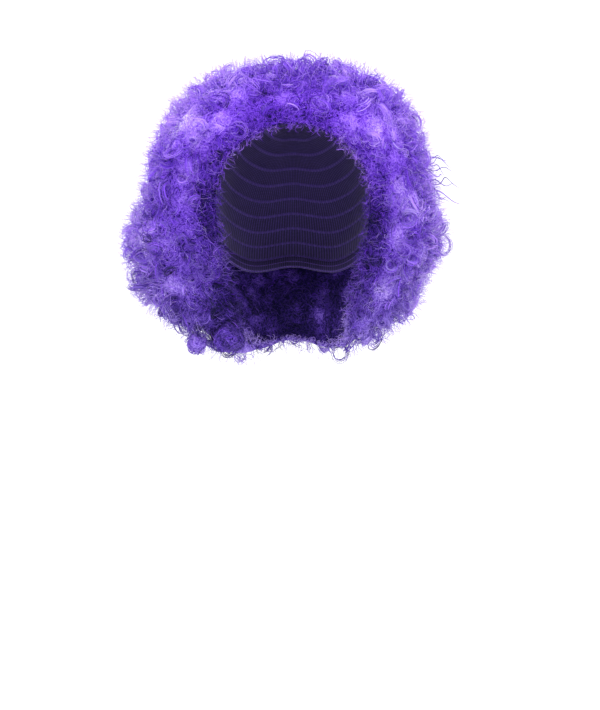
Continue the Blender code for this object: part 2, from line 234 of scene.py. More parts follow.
# Height of the nearest tuft over each point: strength * (1 - (distance / reach)^2), and which it is
def tuftRise(points):
    flat = points.reshape(-1, 3)
    apart = np.sqrt(((flat[:, None] - tufts[None]) ** 2).sum(-1))
    near = apart.argmin(1)
    rise = np.clip(1 - (apart.min(1) / bed["tuftReach"]) ** 2, 0, 1) * tuftStrength[near]
    return rise.reshape(points.shape[:-1]), near.reshape(points.shape[:-1])


# Sections of the hair, each from its first to its last column of the frame's grid
sections = {
    "crown": {"node": "crown_hair", "first": 0, "last": 40},
    "front": {"node": "front_hair", "first": -6, "last": 6},
    "leftSide": {"node": "left_side_hair", "first": 6, "last": 14},
    "nape": {"node": "nape_hair", "first": 14, "last": 26},
    "rightSide": {"node": "right_side_hair", "first": 26, "last": 34},
}


# Shares at even lengths along each column's profile, found by interpolation over all columns at once
def evenShares(turn, fraction, start):
    share = np.linspace(start, 1, bed["profile"])[None] + 0 * turn[:, :1]
    d, _, outer, _ = bedRadius(turn[:, :1] + 0 * share, share)
    points = middle + d * outer[..., None]
    length = np.cumsum(np.linalg.norm(np.diff(points, axis=1), axis=-1), axis=1)
    length = np.concatenate([0 * length[:, :1], length], 1) / length[:, -1:]
    column = 2.0 * np.arange(len(turn))[:, None]
    return np.interp(column + fraction, (column + length).ravel(), share.ravel())


# A section of the bed as a grid with even rows: both surfaces, how far the edge is, and the nearest tuft
def sectionGrid(name):
    part = sections[name]
    crown = name == "crown"
    across = (part["last"] - part["first"]) * bed["columns"] // (2 if crown else 1) + 1
    u, v = evenGrid(across, bed["rows"])
    turn = (part["first"] + (part["last"] - part["first"]) * u) * turnRound / form["columns"]
    if crown:
        share = v * form["crownShare"]
    else:
        share = evenShares(turn, v, form["crownShare"])
    d, inner, outer, toEdge = bedRadius(turn, share)
    smooth = middle + d * outer[..., None]
    rise, near = tuftRise(smooth)
    fade = np.clip(toEdge / form["rollWidth"], 0, 1) ** 0.5
    height = bed["tuftHeight"] * rise * fade
    part["outer"] = middle + d * (outer + height)[..., None]
    part["inner"] = middle + d * inner[..., None]
    step = np.linalg.norm(np.diff(part["outer"], axis=1), axis=-1)
    left = np.cumsum(step[:, ::-1], axis=1)[:, ::-1]      # over the hair, from each row to the section's end
    # The crown ends where other hair begins, so its edge counts as four rolls further away
    part["toEdge"] = np.concatenate([left, 0 * left[:, :1]], 1) + crown * form["rollWidth"] * 4
    part["rise"], part["tuft"] = rise, near


for name in sections:
    sectionGrid(name)
print("bed of hair worked out,", bed["tufts"], "tufts")


# Mesh in code

# Puts points, faces of one size and a UV map into a new object at the origin
def meshObject(name, points, faces, material, uv=None, smooth=True):
    mesh = bpy.data.meshes.new(name)
    size = faces.shape[1]
    mesh.vertices.add(len(points))
    mesh.vertices.foreach_set("co", np.asarray(points, np.float32).ravel())
    mesh.loops.add(faces.size)
    mesh.loops.foreach_set("vertex_index", faces.astype(np.int32).ravel())
    mesh.polygons.add(len(faces))
    mesh.polygons.foreach_set("loop_start", np.arange(0, faces.size, size, dtype=np.int32))
    if uv is not None:
        layer = mesh.uv_layers.new(name=uv[0])
        layer.data.foreach_set("uv", np.asarray(uv[1], np.float32).ravel())
    mesh.update(calc_edges=True)
    mesh.validate()
    if smooth:
        mesh.shade_smooth()
    mesh.materials.append(material)
    obj = bpy.data.objects.new(name, mesh)
    bpy.context.scene.collection.objects.link(obj)
    return obj


# Index of each grid point. A wrapped grid's last column is its first, and a pole row is one point
def gridIndex(columns, rows, wrapped, pole):
    index = np.arange(columns * rows).reshape(columns, rows)
    if wrapped:
        index[-1] = index[0]
    if pole:
        index[:, 0] = index[0, 0]
    return index


# Two triangles for each quad, without those that have no area
def triangles(quads):
    both = np.concatenate([quads[:, [0, 1, 2]], quads[:, [0, 2, 3]]])
    same = (both[:, 0] == both[:, 1]) | (both[:, 1] == both[:, 2]) | (both[:, 2] == both[:, 0])
    return both[~same]


def gridQuads(index):
    return np.stack([index[:-1, :-1], index[:-1, 1:], index[1:, 1:], index[1:, :-1]], -1).reshape(-1, 4)


# Strip that joins two lines of points
def strip(a, b):
    return np.stack([a[:-1], b[:-1], b[1:], a[1:]], -1)


mapName = "pieceMap"


# Closed shell between two grids of points: both surfaces and the walls between their edges. innerMap is
# what the map adds on the inner surface, and more is other points, their faces and their map
def shell(name, outer, inner, material, uv, wrapped=False, pole=False, innerMap=(0, 0), more=None):
    columns, rows = outer.shape[:2]
    top = gridIndex(columns, rows, wrapped, pole)
    low = top + columns * rows
    quads = [gridQuads(top), gridQuads(low)[:, ::-1], strip(top[:, -1], low[:, -1])]
    if not pole:
        quads.append(strip(low[:, 0], top[:, 0]))
    if not wrapped:
        quads += [strip(low[-1], top[-1]), strip(top[0], low[0])]
    faces = triangles(np.concatenate(quads))
    points = np.concatenate([outer.reshape(-1, 3), inner.reshape(-1, 3)])
    used, moved = np.unique(faces, return_inverse=True)
    faces = moved.reshape(faces.shape)
    corners = points[used][faces]
    volume = np.einsum("ij,ij->i", corners[:, 0], np.cross(corners[:, 1], corners[:, 2])).sum()
    order = slice(None, None, 1 if volume > 0 else -1)
    faces, points = faces[:, order], points[used]
    both = np.concatenate([uv.reshape(-1, 2), (uv + innerMap).reshape(-1, 2)])[used]
    if more:
        faces = np.concatenate([faces, more[1] + len(points)])
        points, both = np.concatenate([points, more[0]]), np.concatenate([both, more[2]])
    return meshObject(name, points, faces, material, (mapName, both[faces].reshape(-1, 2)))


# Shader maths

# A socket that takes part in sums: each operator adds a Math node
class Value:
    def __init__(self, graph, socket):
        self.graph, self.socket = graph, socket

    def math(self, operation, first, second):
        return self.graph.add("ShaderNodeMath", {"operation": operation}, {0: first, 1: second})

    def apply(self, operation):
        return self.graph.add("ShaderNodeMath", {"operation": operation}, {0: self})

    def __add__(self, other):
        return self.math("ADD", self, other)

    def __sub__(self, other):
        return self.math("SUBTRACT", self, other)

    def __rsub__(self, other):
        return self.math("SUBTRACT", other, self)

    def __mul__(self, other):
        return self.math("MULTIPLY", self, other)

    __radd__ = __add__
    __rmul__ = __mul__


# One material: add() makes any node, its settings first and then its sockets
class Finish:
    def __init__(self, name, **constants):
        self.material = bpy.data.materials.new(name)
        self.material.use_nodes = True
        self.tree = self.material.node_tree
        self.shader = self.tree.nodes["Principled BSDF"]
        for key, value in constants.items():
            self.shader.inputs[key.replace("_", " ")].default_value = value

    def add(self, kind, settings=None, inputs=None, output=0):
        node = self.tree.nodes.new(kind)
        for key, value in (settings or {}).items():
            if key == "stops":
                ramp = node.color_ramp
                while len(ramp.elements) < len(value):
                    ramp.elements.new(0.5)
                for element, (place, colour) in zip(ramp.elements, value):
                    element.position, element.color = place, colour
            else:
                setattr(node, key, value)
        for key, value in (inputs or {}).items():
            self.put(node.inputs[key], value)
        return Value(self, node.outputs[output])

    def put(self, socket, value):
        if isinstance(value, Value):
            self.tree.links.new(value.socket, socket)
        else:
            socket.default_value = value

    def feed(self, name, value):
        self.put(self.shader.inputs[name], value)

    # Both coordinates of a UV map
    def map(self, name):
        split = self.add("ShaderNodeUVMap", {"uv_map": name})
        return [self.add("ShaderNodeSeparateXYZ", None, {0: split}, k) for k in range(2)]

    def mix(self, factor, first, second):
        return self.add("ShaderNodeMix", {"data_type": "RGBA"}, {0: factor, 6: first, 7: second}, 2)

    def bump(self, height, distance):
        inputs = {"Height": height, "Distance": distance, "Strength": 1.0}
        self.feed("Normal", self.add("ShaderNodeBump", None, inputs))


# A colour as an artist's program shows it, 0 to 255, as the linear one that a socket takes
def shown(red, green, blue):
    c = np.array([red, green, blue]) / 255
    return (*np.where(c <= 0.04045, c / 12.92, ((c + 0.055) / 1.055) ** 2.4), 1.0)


# Colours of the hair from its gaps to its lightest fibres: vivid at the top, dustier lower down
hairTones = {
    "vivid": [(0.0, shown(17, 4, 68)), (0.25, shown(86, 38, 186)), (0.5, shown(133, 82, 226)),
              (0.75, shown(174, 135, 236)), (1.0, shown(222, 204, 250))],
    "dusty": [(0.0, shown(14, 8, 54)), (0.25, shown(73, 47, 146)), (0.5, shown(116, 88, 192)),
              (0.75, shown(164, 140, 222)), (1.0, shown(220, 209, 244))],
}


def hairColour(f, shade, dusty):
    vivid = f.add("ShaderNodeValToRGB", {"stops": hairTones["vivid"]}, {0: shade})
    return f.mix(dusty, vivid, f.add("ShaderNodeValToRGB", {"stops": hairTones["dusty"]}, {0: shade}))


# Fibres: the map's u holds two columns for each tone, a vivid and a dusty one, and across a column it runs
# across the fibres. Its v runs from root to tip, with painted shadow towards the root and painted light
# towards the tip
curlFinish = {
    "toneColumns": 12, "columnStep": 3.7, "streaks": 4.2, "streakLength": 2.2, "contrast": 0.36,
    "ridge": 0.12 * mm, "rootShadow": -0.40, "rootLength": 0.30, "tipLight": 0.12, "darkest": -0.14,
    "roughness": 0.6, "shine": 0.2,
}


def curlMaterial():
    look = curlFinish
    f = Finish("curlyFibre", Roughness=look["roughness"], Specular_IOR_Level=look["shine"])
    u, v = f.map("OFBake")
    u = u * (2 * look["toneColumns"])
    column = u.apply("FLOOR")
    level = (column * 0.5 + 0.001).apply("FLOOR")        # the small part keeps whole numbers from falling
    place = f.add("ShaderNodeCombineXYZ", None, {
        0: (u - column) * look["streaks"], 1: v * look["streakLength"], 2: column * look["columnStep"]})
    noise = {"Vector": place, "Scale": 1.0, "Detail": 3.0, "Roughness": 0.65}
    streak = f.add("ShaderNodeTexNoise", None, noise, 0)
    shadowAtRoot = f.add("ShaderNodeMapRange", {"interpolation_type": "SMOOTHSTEP"},
                   {0: v, 1: 0.0, 2: look["rootLength"], 3: look["rootShadow"], 4: 0.0})
    tone = level * ((1 - look["darkest"]) / (look["toneColumns"] - 1)) + look["darkest"]
    shade = tone + (streak - 0.5) * look["contrast"] + shadowAtRoot + v * look["tipLight"]
    f.feed("Base Color", hairColour(f, shade, column - level * 2))
    f.bump(streak, look["ridge"])
    return f.material


# The bed: crinkled fibres, which are the ridges of noise in three sizes, and darker gaps between them, the
# whole bed set darker as painted shade under the curls. Its map holds how light the hair is at each place,
# with its painted light and shade, and how dusty; on the inner surface it adds a painted shadow
bedFinish = {
    "sizes": [(7 * mm, 0.35), (3.2 * mm, 0.40), (1.5 * mm, 0.25)], "sharpness": 5, "bend": 2.2,
    # the shade offset sets the whole bed darker as painted shade under the curls, and the inside offset is a
    # painted shadow on its inner surface
    "ridge": 0.7 * mm, "contrast": 0.75, "shade": -0.46, "insideShadow": -0.30,
}


def bedMaterial():
    look = bedFinish
    f = Finish("curlyBed", Roughness=0.8, Specular_IOR_Level=0.1)
    place = f.add("ShaderNodeTexCoord", output=3)

    def ridges(size):
        settings = {"Vector": place, "Scale": 1 / size, "Detail": 1.0, "Distortion": look["bend"]}
        noise = f.add("ShaderNodeTexNoise", None, settings, 0)
        return 1 - ((noise - 0.5) * look["sharpness"]).apply("ABSOLUTE")

    lines = sum(ridges(size) * weight for size, weight in look["sizes"])
    lines = f.add("ShaderNodeClamp", None, {0: lines})
    light, dusty = f.map(mapName)
    f.feed("Base Color", hairColour(f, light + lines * look["contrast"] + look["shade"], dusty))
    f.bump(lines, look["ridge"])
    return f.material


# Painted light and shade, how light the hair is by place: rows of azimuth, polar angle and reach in degrees,
# and the tone added there, lighter where light falls and darker in shade
lightAndShadePlaces = [(-58, 46, 26, 0.30), (-80, 60, 30, 0.15), (54, 56, 28, 0.18), (86, 88, 34, 0.24),
              (-88, 98, 28, 0.22), (92, 124, 26, 0.17), (-90, 124, 22, 0.09), (60, 136, 24, 0.11),
              (44, 152, 16, 0.08), (-46, 146, 17, -0.20), (0, 30, 26, -0.10)]
# Where the painted shadow along the edge is deeper, and where the hair lies in painted shadow: rows as above
edgeShadowPlaces = [(48, 102, 32, 0.82), (54, 142, 20, 0.34), (-48, 144, 14, 0.60), (-44, 94, 28, 0.70),
              (0, 52, 30, 0.34)]
darkPlaces = [(-42, 139, 10.5, 0.92)]
tones = {
    "middle": 0.58, "cloud": 0.05, "cloudSize": (24 * mm, 46 * mm), "clouds": 7, "cloudSum": 2.6,
    # the edge tones set the painted shadow along the edge of the hair
    "curl": 0.088, "fibre": 0.07, "shadeBetweenTufts": -0.38, "edge": 0.06, "edgeShadowMost": 0.94, "edgeShadowReach": 18 * mm,
    "least": 0.30, "most": 0.72,
    # halo is painted light, the outermost fine hairs set lighter as if light shone through them; inside is
    # painted shadow on the hair inside
    "ringlets": 0.03, "swirls": 0.02, "frizz": -0.01, "halo": 0.26, "inside": -0.26, "rim": 0.06,
    "fibreWidth": 0.3,       # how much of a column's width one fibre takes
}


def between(ends, shape):
    return rng.uniform(ends[0], ends[1], shape)


# Soft clouds of tone: a sum of plane waves in random directions, about -1 to 1
cloudWaves = unit(rng.normal(size=(tones["clouds"], 3)))
cloudWaves = cloudWaves * (turnRound / between(tones["cloudSize"], (tones["clouds"], 1)))
cloudPhases = rng.uniform(0, turnRound, tones["clouds"])


# How much the painted shadow along the edge darkens the hair: share * exp(-(distance from the edge /
# reach)^4), with the share by place, and more painted shadow in the dark places
def paintedEdgeShadow(d, toEdge):
    share = (tones["edge"] + spreadOut(d, edgeShadowPlaces)) * np.exp(-(toEdge / tones["edgeShadowReach"]) ** 4)
    return np.minimum(share + spreadOut(d, darkPlaces), tones["edgeShadowMost"])


# Tone = middle + clouds + painted shade in the dips between the tufts + the painted light and shade that the
# places add, at least a fixed tone, times (1 - the painted shadow along the edge)
def toneAt(place, toEdge, rise, tuft):
    # painted shade: the hair is darker in the hollows between the tufts
    tone = tones["middle"] + tones["shadeBetweenTufts"] * (1 - rise) + tuftTone[tuft]
    tone = tone + tones["cloud"] * np.sin(place @ cloudWaves.T + cloudPhases).sum(-1) / tones["cloudSum"]
    d = unit(place - middle)
    return np.maximum(tone + spreadOut(d, lightAndShadePlaces), tones["least"]) * (1 - paintedEdgeShadow(d, toEdge))


# The dusty share grows from 20 mm below the top of the head, over the next 190 mm
dust = {"start": 0.02, "over": 0.19, "least": 0.05}


def dustyAt(place):
    return np.clip((-place[..., 2] - dust["start"]) / dust["over"], dust["least"], 1)


# Two rounded tufts that hang from the lower edge beside the face
lowTufts = {
    "middles": np.array([(-80.3, -44, -216.7), (-54.3, -44, -212.5)]) * mm, "reach": np.array([9, 14]) * mm,
    # the second tuft's low tone is painted shadow: it hangs in the darkest place beside the face
    "tone": np.array([0.48, 0.22]), "dusty": 0.9, "fibreChange": 1.5,
    "columns": 27, "rows": 16, "core": 0.85, "lumps": 0.035, "lumpScale": 28,
    "locks": 50, "fibres": 3, "points": 9, "turns": (0.06, 0.20), "start": 0.3, "high": (-0.75, 0.75),
    "highest": 0.96, "band": 0.12, "wobble": 0.7 * mm, "waves": (6, 13), "flare": (-0.08, 0.10),
    "width": (0.22 * mm, 0.38 * mm), "thickness": 0.2 * mm,
}


# Lumpy balls that fill the tufts. Radius = reach * core * (1 + lumps * the clouds' waves, laid over the ball)
def tuftCores():
    look = lowTufts
    u, v = evenGrid(look["columns"], look["rows"])
    index = gridIndex(look["columns"], look["rows"], True, True)
    index[:, -1] = index[0, -1]
    used, faces = np.unique(triangles(gridQuads(index)[:, ::-1]), return_inverse=True)
    ball = fromAngles(turnRound * u, np.pi * v).reshape(-1, 3)[used]
    lumps = np.sin(ball @ cloudWaves.T / look["lumpScale"] + cloudPhases).sum(-1, keepdims=True)
    count = len(look["reach"])
    radius = look["reach"][:, None, None] * look["core"] * (1 + look["lumps"] * lumps)
    points = look["middles"][:, None] + radius * ball
    every = faces.reshape(1, -1, 3) + (np.arange(count) * len(used))[:, None, None]
    shade = np.stack([np.repeat(look["tone"], len(used)), np.full(count * len(used), look["dusty"])], -1)
    return points.reshape(-1, 3), every.reshape(-1, 3), shade


bedLook = bedMaterial()
for name, part in sections.items():
    crown = name == "crown"
    tone = toneAt(part["outer"], part["toEdge"], part["rise"], part["tuft"])
    shade = np.stack([tone, dustyAt(part["outer"])], -1)
    more = tuftCores() if name == "rightSide" else None
    piece = shell(name + "HairBed", part["outer"], part["inner"], bedLook, shade, wrapped=crown, pole=crown,
                  innerMap=(bedFinish["insideShadow"], 0), more=more)
    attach(piece, "root")
    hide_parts(part["node"])
    print(name, "bed:", len(piece.data.polygons), "triangles")

# Curls and frizz. share is how much of the fibres' triangles each kind takes, and small is the distance
# from the edge below which they shrink, with their least size there as a share of their full size
shrinkNear = (9 * mm, 0.45)
ringlets = {
    "share": 0.47, "points": 10, "fibres": 8, "small": (16 * mm, 0.34),
    "radius": (3.0 * mm, 7.2 * mm), "turns": (0.6, 1.15), "pitch": (1 * mm, 7 * mm),
    "lean": (12, 68),        # degrees between the coil's axis and the way out of the hair
    "lift": (0, 4.0 * mm), "spread": (2.4 * mm, 5.6 * mm), "apart": 1.2 * mm, "inward": (-0.2, 0.6),
    "width": (0.26 * mm, 0.46 * mm), "thickness": 0.24 * mm, "sink": 1.5 * mm, "wobble": 0.9 * mm,
    # What sets a fibre apart from its clump: share of its turns, start in radians, and way along the axis
    "turnShare": (0.7, 1.2), "start": 0.35, "stray": 0.6 * mm,
}
swirls = {                   # these wind round the middle of a tuft
    "share": 0.18, "points": 9, "small": shrinkNear, "length": (9 * mm, 22 * mm), "least": 2 * mm,
    "most": 2.6, "rise": (3 * mm, 11 * mm), "crinkles": (1.5, 3.0), "crinkle": 0.8 * mm, "upward": 0.6,
    "inward": (-0.1, 0.5), "width": (0.25 * mm, 0.46 * mm), "thickness": 0.2 * mm, "sink": 1.0 * mm,
}
frizz = {
    "share": 0.14, "points": 9, "small": shrinkNear, "flow": 1.6,
    "length": (8 * mm, 18 * mm), "rise": (4 * mm, 10 * mm),
    "waves": (1.3, 2.4), "wave": (1.0 * mm, 2.6 * mm), "width": (0.20 * mm, 0.36 * mm),
    "thickness": 0.18 * mm, "sink": 1.0 * mm,
}
halo = {
    "share": 0.21, "points": 5, "small": shrinkNear, "flow": 1.6,
    "length": (3 * mm, 10 * mm), "rise": (14.5 * mm, 23 * mm),
    "waves": (0.4, 1.0), "wave": (1.0 * mm, 3.0 * mm), "width": (0.10 * mm, 0.17 * mm),
    "thickness": 0.1 * mm, "sink": 1.0 * mm,
}
inside = {                   # these lie on the inside, more than capGap radians below the cap
    "points": 10, "small": shrinkNear, "flow": 0.5, "capGap": 0.02,
    "length": (9 * mm, 20 * mm), "rise": (1.5 * mm, 3.4 * mm), "waves": (1.3, 2.6),
    "wave": (0.6 * mm, 1.5 * mm), "width": (0.22 * mm, 0.42 * mm), "thickness": 0.2 * mm, "sink": 0.8 * mm,
    "triangles": {"leftSide": 24000, "nape": 48000, "rightSide": 24000},
}
rim = {                      # short curly hairs along the edge
    "points": 10, "waves": (1.0, 2.0), "wave": (0.9 * mm, 2.6 * mm), "out": (-0.3, 1.1), "stray": 1.5 * mm,
    "faceLength": (4 * mm, 10 * mm), "lowLength": (5 * mm, 14 * mm), "width": (0.18 * mm, 0.36 * mm),
    "thickness": 0.16 * mm, "sink": 2.5 * mm, "edgeShadowShare": 0.8,
    # Round the face, above and in front of these places, they are shorter and lean further out
    "faceHeight": -0.215, "faceBlend": 0.02, "faceBack": 0.02, "faceOut": 0.4,
    "fibres": {"front": 250, "leftSide": 220, "nape": 400, "rightSide": 220},
}
flyaways = {                 # a few long hairs that stand away at one side
    "points": 26, "azimuth": (76, 92), "polar": (68, 84), "count": 11, "spread": 0.26,
    "length": (20 * mm, 37 * mm), "droop": 11 * mm, "waves": (1.0, 2.2), "wave": (2.0 * mm, 4.5 * mm),
    "width": 0.5 * mm, "thickness": 0.35 * mm, "tone": 0.46, "dusty": 0.5,
}
fibreTriangles = {"crown": 184000, "front": 158000, "leftSide": 162000, "nape": 127000, "rightSide": 160000}
flow = {"waves": 1.3, "spread": 0.5}                     # how fast the hair's lean changes, and how unevenly
goldenSteps = np.array([0.7548776662, 0.5698402910])     # 1 / g and 1 / g^2, where g^3 = g + 1
rootMoved = 0.25                                         # as a share of the way from one root to the next
fibreForm = {"taper": (0.12, 0.97), "blunt": 0.45, "margin": 0.05, "end": 0.01}


# Places spread evenly over a section's bed, with the way out and the way to the edge. A sequence of
# golden steps fills the unit square, and the running sums of area take it to the grid's cells
def rootsOn(part, count, surface="outer"):
    p = part[surface]
    facing = 1 if surface == "outer" else -1
    a = p[1:, :-1] - p[:-1, :-1]
    b = p[:-1, 1:] - p[:-1, :-1]
    area = np.linalg.norm(np.cross(a, b), axis=-1)
    steps = np.arange(count)[:, None] * goldenSteps + rng.random(2)
    x, y = ((steps + rng.normal(0, rootMoved / np.sqrt(count), (count, 2))) % 1).T
    columns = np.r_[0, np.cumsum(area.sum(1))] / area.sum()
    across = np.interp(x, columns, np.arange(len(columns)))
    i = np.minimum(across.astype(int), len(area) - 1)
    rows = np.concatenate([0 * area[:, :1], np.cumsum(area, axis=1)], 1) / area.sum(1, keepdims=True)
    key = (2.0 * np.arange(len(area))[:, None] + rows).ravel()
    under = np.interp(2.0 * i + y, key, np.tile(np.arange(rows.shape[1]), len(area)))
    j = np.minimum(under.astype(int), area.shape[1] - 1)
    s, t = (across - i)[:, None], (under - j)[:, None]
    near = (1 - t) * p[i, j] + t * p[i, j + 1]
    far = (1 - t) * p[i + 1, j] + t * p[i + 1, j + 1]
    place = (1 - s) * near + s * far
    down = unit(p[i, j + 1] - p[i, j] + p[i + 1, j + 1] - p[i + 1, j])
    around = p[i + 1, j] - p[i, j] + p[i + 1, j + 1] - p[i, j + 1]
    out = unit(np.cross(around, down))
    out = np.where(dot(out, place - middle) * facing < 0, -out, out)
    return place, out, down, part["toEdge"][i, j], part["rise"][i, j], part["tuft"][i, j]


# Two directions square to each of these
def squareTo(axis, near):
    first = unit(near - dot(near, axis) * axis)
    return first, np.cross(axis, first)


# A way along the hair, by its angle from the way down
def alongHair(out, down, heading):
    return down * np.cos(heading) + np.cross(out, down) * np.sin(heading)


# Size near the edge, as a share of full size
def shrink(look, toEdge):
    return np.clip(toEdge / look["small"][0], look["small"][1], 1)[:, None]


# Circle round a path: size * (cos(angle) * e + sin(angle) * f)
def turned(e, f, size, angle):
    return e * (size * np.cos(angle))[..., None] + f * (size * np.sin(angle))[..., None]


# Size and angle of a wave that turns round a path and widens along it
def waveAlong(look, count, s):
    angle = turnRound * between(look["waves"], (count, 1)) * s + rng.uniform(0, turnRound, (count, 1))
    return between(look["wave"], (count, 1)) * np.sqrt(s), angle


# Shares of the way along a fibre, at its points
def alongFibre(look):
    return np.linspace(0, 1, look["points"])[None, :]


# How many fibres a budget of triangles makes: each takes 6 * (points - 2)
def fibreCount(look, budget):
    return int(budget / (6 * (look["points"] - 2)))


# Closed three-sided ribbons along paths (fibre, point, 3). Each end is one point, and the section is
# path + side * width * cos + up * thickness * sin, with up square to both path and side, thinner towards
# its ends. The map puts each fibre in the column of its tone, a margin away from the column's sides
def fibreMesh(paths, wide, width, thickness, tone, dusty):
    count, points = paths.shape[:2]
    tangent = unit(np.gradient(paths, axis=1))
    side = unit(wide - dot(wide, tangent) * tangent)
    up = np.cross(tangent, side)
    t = np.linspace(0, 1, points)
    taper = (np.sin(np.pi * np.clip(t, *fibreForm["taper"])) ** fibreForm["blunt"])[None, 1:-1, None]
    core, side, up = paths[:, 1:-1], side[:, 1:-1] * width, up[:, 1:-1] * thickness
    rings = [core + taper * (side * np.cos(k) + up * np.sin(k)) for k in turnRound * np.arange(3) / 3]
    ring = np.stack(rings, 2).reshape(count, -1, 3)
    verts = np.concatenate([paths[:, :1], ring, paths[:, -1:]], 1)
    last = 3 * (points - 2)
    index = 1 + np.arange(last).reshape(points - 2, 3)
    low, high = index[:-1], index[1:]
    row = np.arange(1.0, points - 2)
    # Where a side's first and second line lie across the column
    acrossAt = [(0.0, 1.0), (1.0, 0.8), (1.0, 0.0)]
    faces, corners = [], []
    for k, (a, b) in enumerate(acrossAt):
        n = (k + 1) % 3
        a, b = a + 0 * row, b + 0 * row
        faces += [np.stack([low[:, k], low[:, n], high[:, n]], -1),
                  np.stack([low[:, k], high[:, n], high[:, k]], -1),
                  [[0, index[0, n], index[0, k]]], [[last + 1, index[-1, k], index[-1, n]]]]
        corners += [np.stack([[a, row], [b, row], [b, row + 1]]).transpose(2, 0, 1),
                    np.stack([[a, row], [b, row + 1], [a, row + 1]]).transpose(2, 0, 1),
                    [[[(a[0] + b[0]) / 2, 0], [b[0], 1], [a[0], 1]]],
                    [[[(a[0] + b[0]) / 2, points - 1], [a[0], points - 2], [b[0], points - 2]]]]
    faces, corners = np.concatenate(faces), np.concatenate(corners)
    levels = curlFinish["toneColumns"]
    tone = np.clip(tone, 0, tones["most"])
    column = 2 * np.round(tone * (levels - 1)) + (rng.random(count) < dusty)
    margin, end = fibreForm["margin"], fibreForm["end"]
    start = column + between((margin, 1 - margin - tones["fibreWidth"]), count)
    u = (start[:, None, None] + tones["fibreWidth"] * corners[None, :, :, 0]) / (2 * levels)
    v = end + (1 - 2 * end) * corners[None, :, :, 1] / (points - 1) + 0 * u
    every = faces[None] + (np.arange(count) * verts.shape[1])[:, None, None]
    return verts.reshape(-1, 3), every.reshape(-1, 3), np.stack([u, v], -1).reshape(-1, 2)


# One kind's fibres, each with its own width
def fibresAlong(look, paths, wide, tone, dusty):
    width = between(look["width"], (len(paths), 1, 1))
    return fibreMesh(paths, wide, width, look["thickness"], tone, dusty)


# Ringlets: fibres that share a coil. Path = root - radius * e + axis * (pitch * s + offset)
# + reach * (cos(angle) * e + sin(angle) * f), where e points into the hair, so it rises and curls over.
# The reach starts a little over the radius and draws inward, and the offset sets each fibre apart
def ringletFibres(part, budget):
    look = ringlets
    each = look["fibres"]
    clumps = fibreCount(look, budget) // each
    shared, own = (clumps, 1, 1), (clumps, each, 1)
    place, out, down, toEdge, rise, tuft = rootsOn(part, clumps)
    heading = rng.uniform(0, turnRound, (clumps, 1))
    lean = np.radians(between(look["lean"], (clumps, 1)))
    axis = out * np.cos(lean) + alongHair(out, down, heading) * np.sin(lean)
    e, f = squareTo(axis, -out)
    small = shrink(look, toEdge)[..., None]
    radius = between(look["radius"], shared) * small
    turns = between(look["turns"], shared) * rng.choice([-1, 1], shared)
    turns = turns * between(look["turnShare"], own) * small
    s = alongFibre(look)
    angle = turnRound * turns * s + rng.normal(0, look["start"], own)
    offset = rng.uniform(-0.5, 0.5, own) * between(look["spread"], shared) * small
    offset = offset * (0.6 + 0.8 * s) + rng.normal(0, look["stray"], own) * s
    inward = between(look["inward"], shared)
    reach = radius * (1.05 - inward * s) + rng.normal(0, look["apart"], own) * (0.4 + s) * small
    climb = between(look["pitch"], shared) * small * s
    crinkle = rng.normal(0, look["wobble"], own)
    reach = reach + crinkle * np.sin(7 * s + between((0, 6), own))
    lift = between(look["lift"], shared) * small * np.minimum(s / 0.2, 1) - look["sink"]
    a, e, f, o = (x[:, None, None] for x in (axis, e, f, out))
    path = (place[:, None, None] + o * lift[..., None] - e * radius[..., None]
            + a * (climb + offset)[..., None] + turned(e, f, reach, angle))
    n = clumps * each
    tone = toneAt(place, toEdge, rise, tuft) + tones["ringlets"] + rng.normal(0, tones["curl"], clumps)
    tone = (tone[:, None] + rng.normal(0, tones["fibre"], (clumps, each))).ravel()
    wide = (a + 0 * path).reshape(n, -1, 3)
    return fibresAlong(look, path.reshape(n, -1, 3), wide, tone, np.repeat(dustyAt(place), each))


# Swirls: path = middle + r * (1 - inward * s) * (cos(angle) * e + sin(angle) * f) + up * rise, where e points
# from the middle of the nearest tuft to the root and the angle is length * s / r
def swirlFibres(part, budget):
    look = swirls
    n = fibreCount(look, budget)
    place, _, _, toEdge, rise, tuft = rootsOn(part, n)
    up = unit(tufts[tuft] - middle)
    away = place - tufts[tuft]
    away = away - dot(away, up) * up
    r = np.linalg.norm(away, axis=1, keepdims=True)
    e = away / np.maximum(r, 1e-6)
    f = np.cross(up, e) * tuftHand[tuft][:, None]
    s = alongFibre(look)
    small = shrink(look, toEdge)
    most = between(look["length"], (n, 1)) * small / np.maximum(r, look["least"])
    angle = np.minimum(most, look["most"]) * s
    crinkle = rng.normal(0, look["crinkle"], (n, 1))
    crinkles = turnRound * between(look["crinkles"], (n, 1)) * s + between((0, 6), (n, 1))
    crinkle = crinkle * np.sin(crinkles) * np.sqrt(s)
    reach = r * (1 - between(look["inward"], (n, 1)) * s) + crinkle
    lift = between(look["rise"], (n, 1)) * small * s ** 0.5 - look["sink"] + crinkle * look["upward"]
    path = ((place - e * r)[:, None] + turned(e[:, None], f[:, None], reach, angle)
            + up[:, None] * lift[..., None])
    tone = toneAt(place, toEdge, rise, tuft) + tones["swirls"] + rng.normal(0, tones["curl"], n)
    return fibresAlong(look, path, up[:, None], tone, dustyAt(place))


# True where a place on the inside of the hair is past the cap's edge
def belowCap(place):
    d = unit(place - middle)
    turn = np.arctan2(d @ capDome.left, d @ capDome.ahead)
    return np.arccos(np.clip(d @ capDome.pole, -1, 1)) > capDome.edgeSpread(turn) + inside["capGap"]


